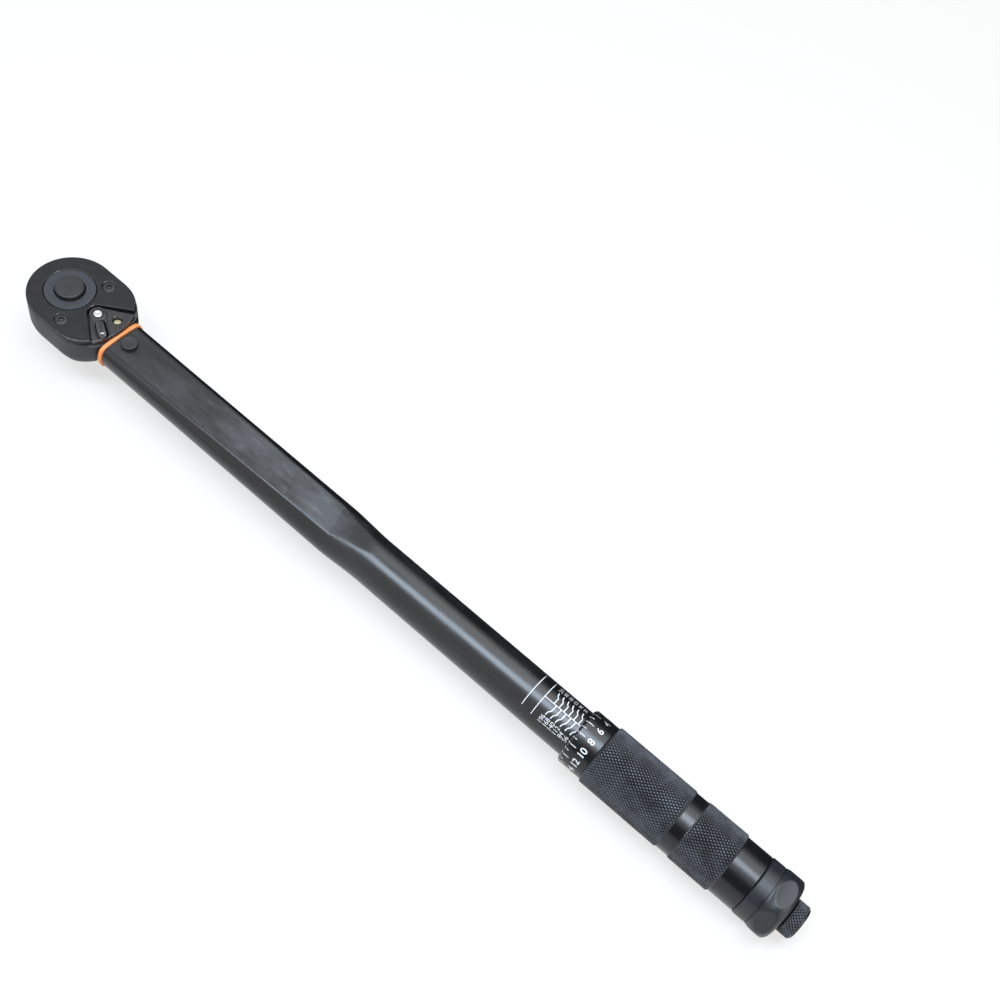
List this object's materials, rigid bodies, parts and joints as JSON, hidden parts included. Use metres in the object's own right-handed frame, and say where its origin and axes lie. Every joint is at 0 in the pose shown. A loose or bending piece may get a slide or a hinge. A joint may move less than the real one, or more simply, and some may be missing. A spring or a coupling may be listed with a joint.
{
  "type": "torque wrench",
  "caption": "Black click torque wrench with a round reversible ratchet head, a square drive, a part-flattened tube and a knurled micrometer grip with a lock knob.",
  "frame": {"origin": "centre of the drive square's end face", "axes": "+X from the head along the tube to the lock knob, +Z from the drive square to the reversing lever's side, +Y completes the right-handed set"},
  "size_m": [0.4476, 0.0412, 0.0401],
  "materials": {
    "phosphate": "matte black phosphate on forged steel",
    "satin_disc": "satin blue-black steel",
    "black_gloss": "glossy black oxide and lacquer, etched white scale",
    "black_satin": "satin black",
    "orange_rubber": "smooth orange elastomer",
    "bright_steel": "bright ground steel",
    "spring_steel": "plain oiled steel",
    "brass": "turned brass"
  },
  "bodies": {
    "tube": {"tube": "black_gloss", "neck_ring": "orange_rubber", "pivot_pin": "phosphate", "adjusting_nut": "brass", "nut_pin_left": "spring_steel", "nut_pin_right": "spring_steel", "main_spring": "spring_steel"},
    "head": {"head_body": "phosphate", "cover_plate": "phosphate", "cover_screw_left": "phosphate", "cover_screw_right": "phosphate", "lever_pin": "bright_steel", "detent_plunger": "brass", "detent_spring": "spring_steel"},
    "drive": {"drive_gear": "satin_disc", "release_spring": "spring_steel"},
    "button": {"release_button": "phosphate"},
    "ball": {"drive_ball": "bright_steel"},
    "lever": {"reverse_lever": "phosphate"},
    "pawl": {"pawl": "spring_steel"},
    "piston": {"piston": "spring_steel"},
    "link": {"toggle_link": "spring_steel"},
    "carriage": {"spring_seat": "spring_steel", "thrust_ball": "bright_steel"},
    "grip": {"adjusting_screw": "spring_steel", "grip_sleeve": "black_gloss", "grip_plug": "spring_steel", "grip_pin_upper": "spring_steel", "grip_pin_lower": "spring_steel", "end_cap": "black_satin", "lock_ball_upper": "bright_steel", "lock_ball_lower": "bright_steel"},
    "wedge": {"lock_wedge": "spring_steel"},
    "knob": {"lock_rod": "spring_steel", "lock_knob": "black_satin"}
  },
  "joints": [
    {"name": "head_click", "type": "hinge", "parent": "tube", "child": "head", "pos_m": [0.0399, 0, 0.0255], "axis": [0, 0, 1], "range_deg": [0, 1.51], "stiffness_Nm_per_rad": 20},
    {"name": "piston_slide", "type": "slide", "parent": "tube", "child": "piston", "axis": [1, 0, 0], "range_m": [0, 0.000712]},
    {"name": "link_tilt", "type": "hinge", "parent": "piston", "child": "link", "pos_m": [0.192, 0, 0.0255], "axis": [0, 0, 1], "range_deg": [-25, 0]},
    {"name": "drive_spin", "type": "hinge", "parent": "head", "child": "drive", "pos_m": [0, 0, 0.0255], "axis": [0, 0, 1], "continuous": true},
    {"name": "button_press", "type": "slide", "parent": "drive", "child": "button", "axis": [0, 0, -1], "range_m": [0, 0.0025], "stiffness_N_per_m": 1200, "deforming": ["release_spring"]},
    {"name": "ball_retract", "type": "slide", "parent": "drive", "child": "ball", "axis": [-1, 0, 0], "range_m": [0, 0.0011]},
    {"name": "lever_flip", "type": "hinge", "parent": "head", "child": "lever", "pos_m": [0.0189, 0, 0.0255], "axis": [0, 0, 1], "range_deg": [0, 5.4]},
    {"name": "pawl_rock", "type": "hinge", "parent": "head", "child": "pawl", "pos_m": [0.0189, 0, 0.0255], "axis": [0, 0, 1], "range_deg": [0, 5.4]},
    {"name": "seat_slide", "type": "slide", "parent": "tube", "child": "carriage", "axis": [1, 0, 0], "range_m": [-0.0143, 0.0026], "deforming": ["main_spring"]},
    {"name": "grip_turn", "type": "hinge", "parent": "carriage", "child": "grip", "pos_m": [0.35, 0, 0.0255], "axis": [1, 0, 0], "range_deg": [-1982, 362]},
    {"name": "wedge_slide", "type": "slide", "parent": "grip", "child": "wedge", "axis": [1, 0, 0], "range_m": [0, 0.001]},
    {"name": "knob_turn", "type": "hinge", "parent": "wedge", "child": "knob", "pos_m": [0.42, 0, 0.0255], "axis": [1, 0, 0], "range_deg": [-1, 361]}
  ],
  "couplings": [
    {"joint": "head_click", "follows": "piston_slide", "rad_per_m": 36.77},
    {"joint": "link_tilt", "follows": "piston_slide", "rad_per_m": -522.13},
    {"joint": "ball_retract", "follows": "button_press", "ratio": 0.42},
    {"joint": "pawl_rock", "follows": "lever_flip", "ratio": 1},
    {"joint": "grip_turn", "follows": "seat_slide", "rad_per_m": 2416.6},
    {"joint": "knob_turn", "follows": "wedge_slide", "rad_per_m": 6283.2}
  ]
}
